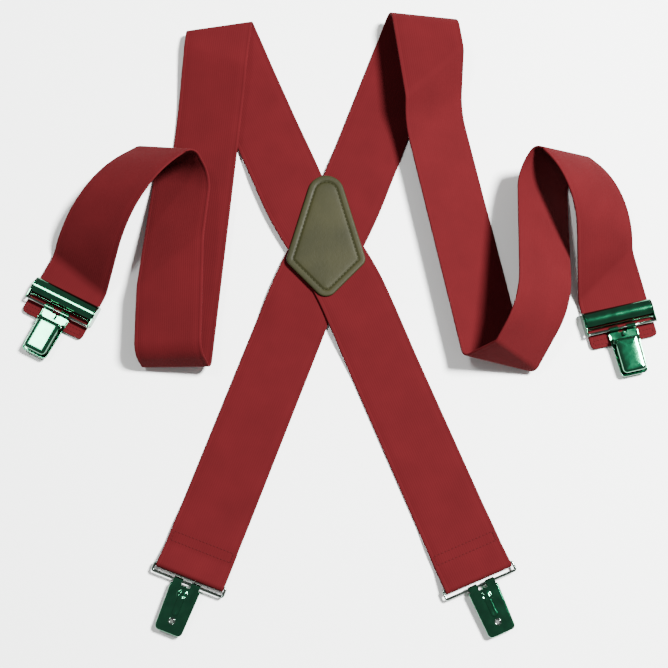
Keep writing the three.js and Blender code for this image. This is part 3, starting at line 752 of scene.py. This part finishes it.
def stitch_rows(build, rows, pitch, length, high=THREAD_HIGH):
    """Separate stitches along runs of points."""
    for run in rows:
        for first, last in zip(run, run[1:]):
            a = Vector(first)
            b = Vector(last)
            count = max(1, round((b - a).length / pitch))
            for i in range(count):
                build.loops(bead(a.lerp(b, (i + 0.5) / count), (b - a).normalized(), length, high))


def box_rows(u0, u1, h):
    """The four sides of a box of stitches."""
    ends = [[(u, -BOX_HALF, h), (u, BOX_HALF, h)] for u in (u0, u1)]
    sides = [[(u0, v, h), (u1, v, h)] for v in (-BOX_HALF, BOX_HALF)]
    return ends + sides


def even_points(loop, pitch):
    """Points about one pitch apart round a closed loop."""
    points = [Vector(p) for p in loop] + [Vector(loop[0])]
    total = sum((b - a).length for a, b in zip(points, points[1:]))
    count = round(total / pitch)
    found = []
    walked = 0.0
    goal = 0.0
    for a, b in zip(points, points[1:]):
        size = (b - a).length
        while size > 0 and goal <= walked + size and len(found) < count:
            found.append(tuple(a.lerp(b, (goal - walked) / size)))
            goal += total / count
        walked += size
    return found + [found[0]]


# ---------------------------------------------------------------- cross patch
PATCH_SIDE = (22.6, -12.8, 6.5)  # x, y and radius of the right corner
PATCH_TOP = (38.9, 13.6)  # y and radius of the long point
PATCH_BOTTOM = (-32.5, 9)
GROOVE_INSET = 5.0
STITCH_SUNK = 0.45  # the stitches' middle under the nominal top
# Inset and height: the rim over the underside, then the rolled edge, groove and cushion over the top.
PATCH_RIM = [(14, 0), (0.7, 0), (0.2, 0.12), (0, 0.5), (0.05, 0.95)]
PATCH_FACE = [
    (0.3, -0.3), (0.8, -0.06), (1.6, 0.04), (3.2, 0.05), (4.0, -0.05), (4.5, -0.42), (5.0, -0.58),
    (5.5, -0.42), (6.0, -0.05), (6.9, 0.08), (9, 0.16), (12, 0.2), (16, 0.22),
]
PATCH_BACKING = [
    (14, 0), (1.2, 0), (0.5, 0.1), (0.1, 0.45), (0, 0.8), (0.15, 1.2), (0.6, 1.5), (1.4, LEATHER_THICK),
    (14, LEATHER_THICK),
]


def add_patch():
    x, y, r = PATCH_SIDE
    outline = Outline([(x, y, r), (0, *PATCH_TOP), (-x, y, r), (0, *PATCH_BOTTOM)], arc=16)
    top = Z_PATCH_TOP + LEATHER_THICK
    front = Build()
    front.rings(outline, lifted(PATCH_RIM, Z_PATCH_TOP) + lifted(PATCH_FACE, top))
    front.finish("cross_patch_leather", LEATHER, "webbing", ["patch_front_leather"])
    back = Build()
    back.rings(outline, PATCH_BACKING)
    back.finish("cross_patch_backing", LEATHER, "webbing", ["patch_back_leather"])
    thread = Build()
    groove = [(u, v, top - STITCH_SUNK) for u, v in outline.ring(GROOVE_INSET)]
    stitch_rows(thread, [even_points(groove, PATCH_STITCH["pitch"])], **PATCH_STITCH)
    thread.finish("cross_patch_stitches", PATCH_THREAD, "webbing", ["patch_stitching"])


# ---------------------------------------------------------------- clip, in the frame of its bar
SHEET = 0.75
KNUCKLE_R = 2.0
KNUCKLE_V = 6.5
KNUCKLE_HALF = 3.25
PIN_U = 9.5
PIN_H = 1.7
PIN_R = 0.9
PIN_HALF = 9.9
EAR_V = 8.85
EAR_R = 1.95
EAR_FOOT = 3.0
EAR_LOW = -1.6
TRAY_FLOOR = -1.25  # the inside of the stamped body
RIM_START = 10.5  # the body's rim rises from here
RIM_FULL = 15.5
TRAY = tapered(2.6, 35.5, 11, 10, 0.6, 3.2)
TRAY_PATH = [
    (7, -2.0), (1.2, -2.0), (0.5, -1.92), (0.12, -1.65), (0, -1.3), (0, -0.6), (0.08, -0.38), (0.3, -0.27),
    (0.55, -0.3), (0.72, -0.5), (0.75, -0.9), (0.95, -1.2), (1.4, TRAY_FLOOR), (7, TRAY_FLOOR),
]
SPINE = tapered(2.4, 6.2, 1.0, 1.0, 0.6, 0.6, arc=3)
SPINE_PATH = [(0.3, -1.6), (0, -1.5), (0, 0.6), (0.3, 1.0)]
# The embossed keyhole: a round head and a slot.
RIB_START = 8
RIB_END = 21
HEAD = pill(RIB_START - HAIR, RIB_START + HAIR, 4.2)
HEAD_PATH = [(2.2, -2.3), (1.3, -2.6), (0.7, -2.6), (0.2, -2.3), (0, -2.0), (0.1, -1.7), (2, -1.7)]
SLOT = pill(RIB_START, RIB_END, 2.4)
SLOT_PATH = [(1.6, -2.42), (0.8, -2.6), (0.25, -2.4), (0, -2.0), (0.1, -1.7), (1.5, -1.7)]
HOLE_U = 27
HOLE_R = 1.6
EYELET_R = 2.05
EYELET_ROLL = 0.42
ROUND_SIDES = 32
LEVER = tapered(7.9, 33.5, 8.5, 8.5, 1.2, 2.8)
LEVER_PATH = [
    (6, 3.35), (3, 3.3), (1.9, 3.05), (1.15, 2.7), (0.82, 2.2), (0.8, 1.65), (0.65, 1.5), (0.15, 1.5),
    (0, 1.65), (0, 2.4), (0.08, 2.95), (0.3, 3.42), (0.7, 3.78), (1.3, 3.98), (2.0, 4.06), (3.0, 4.11),
    (4.2, 4.15), (5.6, 4.18), (6.8, 4.19),
]
LUG_V = 6.9
LUG_R = 1.6
LUG_TOP = 3.0
JAW_TEETH = 9
JAW_HALF = 6.7
TOOTH_GAP = 0.12  # half the gap between two teeth
TOOTH = [(10.8, 3.4), (10.8, 1.7), (11.5, 0.38), (12.9, 0.38), (13.3, 1.7), (13.3, 3.4)]
JAW_BAR = [(10.9, 3.4), (10.9, 1.9), (13.2, 1.9), (13.2, 3.4)]
PAD_START = 12.5
PAD_END = 31
PAD_HALF = 8
PAD_LOW = -1.15
PAD_GROOVE = -0.7
PAD_TOP = -0.37
PAD_RIBS = 8


def rim_shape(point):
    """Lowers the tray's rim towards the neck."""
    u, v, h = point
    if h <= TRAY_FLOOR:
        return point
    return (u, v, TRAY_FLOOR + (h - TRAY_FLOOR) * smoothstep(u, RIM_START, RIM_FULL))


def round_row(radius, h):
    """A circle about the clip's hole."""
    turns = [2 * math.pi * i / ROUND_SIDES for i in range(ROUND_SIDES)]
    return [(HOLE_U + radius * math.cos(t), radius * math.sin(t), h) for t in turns]


def clip_body(build):
    build.rings(TRAY, TRAY_PATH, shape=rim_shape)
    bend_r = KNUCKLE_R - SHEET / 2
    curl = [(3.4, -bend_r), (1.5, -bend_r)] + arc_points(0, 0, bend_r, 270, -40, 22)
    for v in (-KNUCKLE_V, KNUCKLE_V):
        build.across(thick_line(curl, SHEET), v - KNUCKLE_HALF, v + KNUCKLE_HALF)
    ear = [(PIN_U - EAR_FOOT, EAR_LOW), (PIN_U + EAR_FOOT, EAR_LOW)]
    ear += arc_points(PIN_U, PIN_H, EAR_R, 0, 180, 14)
    for v in (-EAR_V - SHEET, EAR_V):
        build.across(ear, v, v + SHEET)
    build.rings(SPINE, SPINE_PATH)
    build.rings(HEAD, HEAD_PATH)
    build.rings(SLOT, SLOT_PATH)


def clip_eyelet(build):
    """A ring of rolled sheet round the hole."""
    rows = []
    for i in range(ROUND_SIDES):
        a = 2 * math.pi * i / ROUND_SIDES
        rows.append([
            (HOLE_U + (EYELET_R + r) * math.cos(a), (EYELET_R + r) * math.sin(a), h - KNUCKLE_R)
            for r, h in arc_points(0, 0, EYELET_ROLL, 0, 324, 9)
        ])
    build.loops(rows, closed=True)


def clip_lever(build):
    build.rings(LEVER, LEVER_PATH)
    lug = arc_points(PIN_U, PIN_H, LUG_R, 180, 360, 12) + [(PIN_U + LUG_R, LUG_TOP), (PIN_U - 1.4, LUG_TOP)]
    for v in (-LUG_V - SHEET, LUG_V):
        build.across(lug, v, v + SHEET)
    wide = 2 * JAW_HALF / JAW_TEETH
    for i in range(JAW_TEETH):
        v = i * wide - JAW_HALF
        build.across(TOOTH, v + TOOTH_GAP, v + wide - TOOTH_GAP)
    build.across(JAW_BAR, -JAW_HALF - 0.15, JAW_HALF + 0.15)


def jaw_pad(build):
    """One strip whose ribs run across the clip."""
    pitch = (PAD_END - PAD_START) / PAD_RIBS
    outline = [(PAD_START, PAD_LOW), (PAD_END, PAD_LOW)]
    for i in range(PAD_RIBS, 0, -1):
        u = PAD_START + i * pitch
        outline.append((u, PAD_GROOVE))
        outline += [(u - 0.25 * pitch, PAD_TOP), (u - 0.6 * pitch, PAD_TOP)]
        outline.append((u - 0.85 * pitch, PAD_GROOVE + 0.02))
    outline.append((PAD_START, PAD_GROOVE))
    build.across(outline, -PAD_HALF, PAD_HALF)


def add_clip(name, place):
    body = Build(place)
    clip_body(body)
    nodes = [f"{name}_clip_body"]
    piece = body.finish(f"{name}_stamped_body", REFLECTION_PAINTED_METAL, f"{name}_clip", nodes, bevel=0.12)
    drill = Build(place)
    drill.loops([round_row(HOLE_R, h) for h in (-4, 0.5)])
    cut_with(piece, drill)
    ring = Build(place)
    clip_eyelet(ring)
    ring.finish(f"{name}_eyelet", WIRE, f"{name}_clip", [])
    lever = Build(place)
    clip_lever(lever)
    nodes = [f"{name}_clip_lever"]
    lever.finish(f"{name}_domed_lever", REFLECTION_PAINTED_METAL, f"{name}_lever", nodes, bevel=0.1)
    pin = Build(place)
    pin.rod(PIN_R, PIN_HALF, PIN_U, PIN_H)
    pin.finish(f"{name}_lever_pin", WIRE, f"{name}_clip", [f"{name}_clip_pin"])
    pad = Build(place)
    jaw_pad(pad)
    pad.finish(f"{name}_ribbed_pad", PAD, f"{name}_clip", [f"{name}_jaw_pad"], bevel=0.08)


# ---------------------------------------------------------------- ring of a back clip
WIRE_SIDES = 16
RING_HALF = WEB_WIDTH / 2 + GAP + WIRE_R
RING_CORNER = 1.4


def wire_ring(build):
    """Wire swept round a rectangle with rounded corners."""
    far = RING_HALF - RING_CORNER
    near = RING_CORNER - RING_DEPTH
    corners = [(-RING_CORNER, far, 0), (near, far, 90), (near, -far, 180), (-RING_CORNER, -far, 270)]
    path = [p for u, v, first in corners for p in arc_points(u, v, RING_CORNER, first, first + 90, 6)]
    turns = [2 * math.pi * i / WIRE_SIDES for i in range(WIRE_SIDES)]
    rows = []
    for i, (u, v) in enumerate(path):
        au, av = path[i - 1]
        bu, bv = path[(i + 1) % len(path)]
        out = Vector((bv - av, au - bu, 0)).normalized()
        centre = Vector((u, v, 0))
        rows.append([centre + out * (WIRE_R * math.cos(t)) + UP * (WIRE_R * math.sin(t)) for t in turns])
    build.loops(rows, closed=True)


# ---------------------------------------------------------------- adjuster, in the frame of its rail
WEB_TOP = -RAIL_OVER_WEB
ADJUSTER_DEPTH = 17
PLATE_LIP = 1.5
PLATE_HIGH = 1.0
PLATE_TO_WEB = 0.45
WALL = 0.9
WALL_V = WEB_WIDTH / 2 + GAP
RAIL_R = 0.95
RAIL_HALF = 26.0
COVER_PIN_U = -7.4
COVER_PIN_H = WEB_TOP + 2
COVER_PIN_R = 0.85
COVER_PIN_HALF = 26.4
COVER_HALF = 24.9
COVER_THICK = 0.9
CURL_MIDDLE = (-10.8, WEB_TOP + 0.2)
# Profiles over the web: the rolled cover, and the frame's lip in front of it.
COVER_RIDGE = [(-17, 0.7), (-16.2, 3.0), (-13.8, 4.6), (-10.5, 5.1), (-7.3, 4.6), (-5.4, 3.2)]
FRAME_LIP = [(-4.3, 3.1), (-3.8, 2.6), (-3.4, 1.6), (-3.3, 0.6)]
LIP_THICK = 0.6
GRIP_TEETH = 31
GRIP_HALF = 24.8
GRIP_GAP = 0.2  # half the gap between two teeth
GRIP_TOOTH = [(-9.6, 2), (-9.5, 0.55), (-8.7, 0.55), (-8.6, 2)]
GRIP_BAR = [(-9.6, 4.4), (-9.6, 1.4), (-8.6, 1.4), (-8.6, 4.4)]
COVER_LUG_R = 1.5
COVER_LUG_WIDE = 1.7
COVER_LUG_TOP = [(-5.9, 3.4), (-8.9, 4.2)]


def adjuster_frame(build):
    top = WEB_TOP - WEB_THICK - PLATE_TO_WEB
    low = top - PLATE_HIGH
    outer = WALL_V + WALL
    plate = tapered(-ADJUSTER_DEPTH, -PLATE_LIP, outer, outer, 0.8, 0.8, arc=5)
    build.rings(plate, [(3, low), (0.3, low), (0, low + 0.25), (0, top - 0.2), (0.25, top), (3, top)])
    side = [(-ADJUSTER_DEPTH, low + 0.2), (0.2 - ADJUSTER_DEPTH, low), (-PLATE_LIP - 0.2, low)]
    side += [(-PLATE_LIP, low + 0.2), (-PLATE_LIP, WEB_TOP)]
    side += arc_points(0, 0, RAIL_R, -90, 90, 10)
    side.append((-4.6, 1.0))
    side += lifted(reversed(smooth_line(COVER_RIDGE[1:-1], 3)), WEB_TOP - GAP)
    side.append((-ADJUSTER_DEPTH, WEB_TOP + 0.2))
    for v in (-outer, WALL_V):
        build.across(side, v, v + WALL)
    lip = thick_line(lifted(smooth_line(FRAME_LIP, 3), WEB_TOP), LIP_THICK)
    build.across(lip, -WALL_V, WALL_V)


def adjuster_cover(build):
    ridge = lifted(smooth_line(COVER_RIDGE, 5), WEB_TOP)
    inside = []
    for u, h in ridge:
        du = CURL_MIDDLE[0] - u
        dh = CURL_MIDDLE[1] - h
        inward = COVER_THICK / math.hypot(du, dh)
        inside.append((u + du * inward, h + dh * inward))
    build.across(ridge + inside[::-1], -COVER_HALF, COVER_HALF)
    wide = 2 * GRIP_HALF / GRIP_TEETH
    for i in range(GRIP_TEETH):
        v = i * wide - GRIP_HALF
        build.across(lifted(GRIP_TOOTH, WEB_TOP), v + GRIP_GAP, v + wide - GRIP_GAP)
    build.across(lifted(GRIP_BAR, WEB_TOP), -GRIP_HALF - 0.05, GRIP_HALF + 0.05)
    lug = arc_points(COVER_PIN_U, COVER_PIN_H, COVER_LUG_R, 180, 360, 10) + lifted(COVER_LUG_TOP, WEB_TOP)
    for v in (-GRIP_HALF, GRIP_HALF - COVER_LUG_WIDE):
        build.across(lug, v, v + COVER_LUG_WIDE)


def add_adjuster(name, place):
    body = f"{name}_adjuster"
    holder = Build(place)
    adjuster_frame(holder)
    holder.finish(f"{name}_slide_frame", REFLECTION_PAINTED_METAL, body, [], bevel=0.15)
    rail = Build(place)
    rail.rod(RAIL_R, RAIL_HALF)
    rail.finish(f"{name}_rail", WIRE, body, [f"{name}_adjuster_frame"])
    cover = Build(place)
    adjuster_cover(cover)
    nodes = [f"{name}_adjuster_cover"]
    cover.finish(f"{name}_rolled_cover", REFLECTION_PAINTED_METAL, f"{name}_cover", nodes, bevel=0.15)
    pin = Build(place)
    pin.rod(COVER_PIN_R, COVER_PIN_HALF, COVER_PIN_U, COVER_PIN_H)
    pin.finish(f"{name}_cover_pin", WIRE, body, [f"{name}_adjuster_pin"])


# ---------------------------------------------------------------- the four ends of the straps
def add_box_stitches(name, kind, place, box, height):
    thread = Build(place)
    stitch_rows(thread, box_rows(*box, height), **WEB_STITCH)
    nodes = [f"{name}_{kind}_stitching"]
    thread.finish(f"{name}_{kind}_stitches", WEB_THREAD, "webbing", nodes)


def add_back_end(name, run):
    place = back_frame(back_course(run), run)
    ring = Build(place)
    wire_ring(ring)
    ring.finish(f"{name}_wire_ring", WIRE, f"{name}_ring", [f"{name}_ring"])
    add_clip(name, place)
    web_top = Z_TABLE + PLY_PITCH + WEB_THICK / 2
    add_box_stitches(name, "loop", place, LOOP_BOX, RING_Z - web_top)


def add_front_end(name, run):
    place = front_frame(front_course(run), run)
    add_adjuster(name, place)
    add_clip(name, place)
    add_box_stitches(name, "hem", place, HEM_BOX, WEB_TOP)


add_camera()
add_studio()
add_floor()
add_straps()
add_patch()
add_back_end("back_left", BACK_LEFT)
add_back_end("back_right", BACK_RIGHT)
add_front_end("front_left", FRONT_LEFT)
add_front_end("front_right", FRONT_RIGHT)
